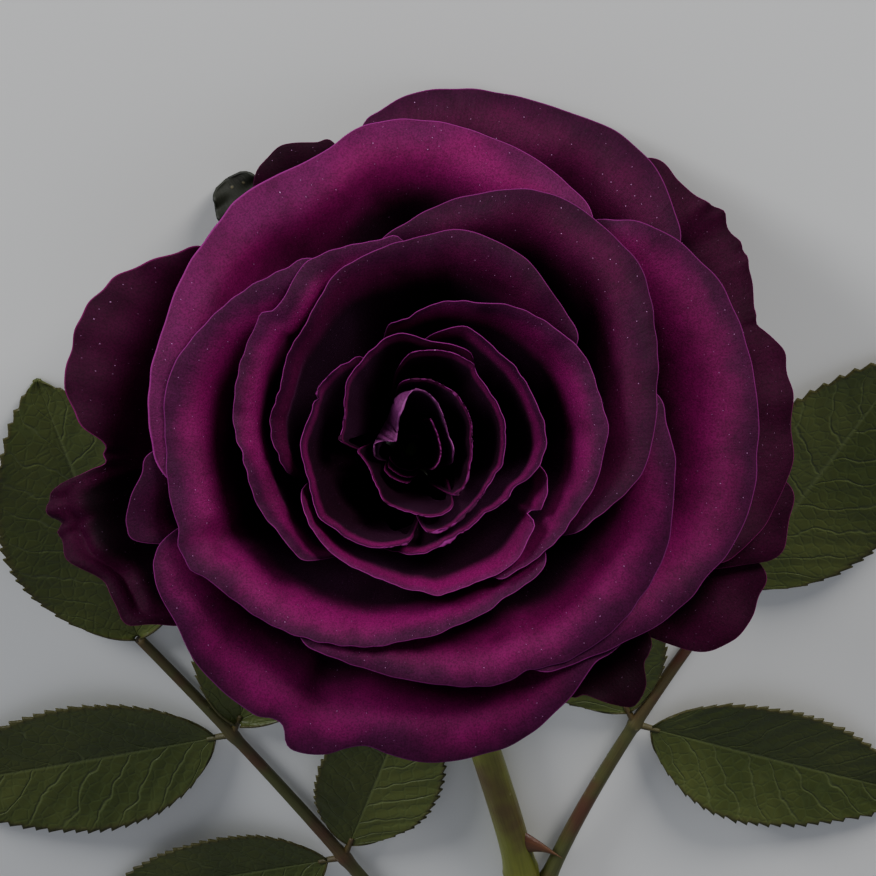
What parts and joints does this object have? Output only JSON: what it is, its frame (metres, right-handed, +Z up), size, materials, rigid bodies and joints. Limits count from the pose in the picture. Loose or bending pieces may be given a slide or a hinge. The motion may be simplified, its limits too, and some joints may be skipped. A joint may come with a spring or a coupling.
{
  "type": "cut rose",
  "caption": "Open cut rose lying down: layered purple petals nested round a spiral heart, sepals, a prickly curved stem and compound leaves.",
  "frame": {"origin": "on the surface it lies on, under the middle of its bounding box", "axes": "+Z up from the surface; +Y along the lying stem from its cut end towards the bloom; +X to the right seen from above with the bloom ahead"},
  "size_m": [0.1794, 0.2962, 0.0705],
  "materials": {
    "petal": "matt velvety, deep magenta purple",
    "dark_petal": "matt, withered, almost black burgundy",
    "sepal": "matt dark green with a purple flush",
    "hip": "smooth, satin green",
    "stem": "smooth, satin yellow-green with red-brown prickles",
    "leaf": "satin dark olive green, lighter veins",
    "stalk": "satin green flushed with red-brown"
  },
  "bodies": {
    "root": {"guard_petal_bottom": "petal", "guard_petal_dark": "dark_petal", "guard_petal_left": "petal", "guard_petal_lower_right": "petal", "guard_petal_right": "petal", "guard_petal_tail": "petal", "guard_petal_top": "petal", "heart_petal_fold": "petal", "heart_petal_low": "petal", "heart_petal_right": "petal", "heart_petal_roll": "petal", "heart_petal_top": "petal", "hip": "hip", "inner_petal_bottom": "petal", "inner_petal_left": "petal", "inner_petal_right": "petal", "inner_petal_ring": "petal", "inner_petal_top": "petal", "leaf_left_leaflet_1_left": "leaf", "leaf_left_leaflet_1_right": "leaf", "leaf_left_leaflet_2_left": "leaf", "leaf_left_leaflet_2_right": "leaf", "leaf_left_leaflet_end": "leaf", "leaf_left_stalk": "stalk", "leaf_low_leaflet_1_left": "leaf", "leaf_low_leaflet_1_right": "leaf", "leaf_low_leaflet_2_left": "leaf", "leaf_low_leaflet_2_right": "leaf", "leaf_low_leaflet_end": "leaf", "leaf_low_stalk": "stalk", "leaf_right_leaflet_1_left": "leaf", "leaf_right_leaflet_1_right": "leaf", "leaf_right_leaflet_end": "leaf", "leaf_right_stalk": "stalk", "middle_petal_left": "petal", "middle_petal_lower_right": "petal", "middle_petal_ring_bottom": "petal", "middle_petal_ring_left": "petal", "middle_petal_ring_right": "petal", "middle_petal_ring_top": "petal", "middle_petal_upper_right": "petal", "outer_petal_right": "petal", "outer_petal_top": "petal", "outer_petal_upper_left": "petal", "sepal_1": "sepal", "sepal_2": "sepal", "sepal_3": "sepal", "sepal_4": "sepal", "sepal_5": "sepal", "stem": "stem", "tucked_petal_left": "petal"}
  },
  "joints": []
}
